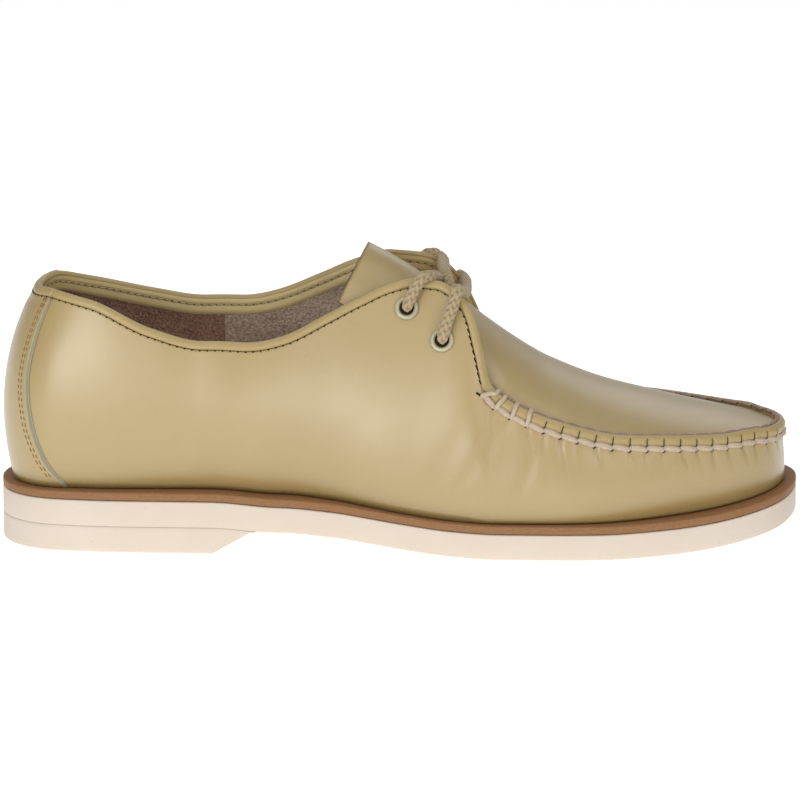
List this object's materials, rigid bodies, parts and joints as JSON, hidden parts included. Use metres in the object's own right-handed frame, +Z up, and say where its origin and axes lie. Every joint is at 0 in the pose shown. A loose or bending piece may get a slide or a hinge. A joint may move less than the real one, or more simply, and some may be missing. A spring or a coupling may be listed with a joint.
{
  "type": "boat shoe",
  "caption": "Right-foot leather moccasin lace-up with a raised hand-sewn toe seam, a tongue under open quarters, a welt-like midsole edge and a rubber sole with a heel.",
  "frame": {"origin": "on the heel's tread, on the centre line, 40 mm ahead of the back of the sole", "axes": "+X from heel to toe, +Y to the inner (medial) side of the right foot, +Z up; the floor is z = 0"},
  "size_m": [0.3, 0.0992, 0.1119],
  "materials": {
    "rubber_cream": "matte cream rubber",
    "midsole_brown": "brown, cut and waxed edge",
    "lining_suede": "brown suede",
    "leather_olive": "smooth, semi-gloss, olive khaki",
    "leather_apron": "smooth, semi-gloss, olive khaki",
    "eyelet_enamel": "pale grey-green enamel",
    "lace_cord": "round braided cotton cord, beige"
  },
  "bodies": {
    "root": {"outsole": "rubber_cream", "heel_lift": "rubber_cream", "midsole": "midsole_brown", "insole": "lining_suede", "upper": "leather_olive", "apron_tongue": "leather_apron", "eyelet_lateral_lower": "eyelet_enamel", "eyelet_lateral_upper": "eyelet_enamel", "eyelet_medial_lower": "eyelet_enamel", "eyelet_medial_upper": "eyelet_enamel", "lace_lower_bar": "lace_cord", "lace_upper_crossing": "lace_cord"}
  },
  "joints": []
}
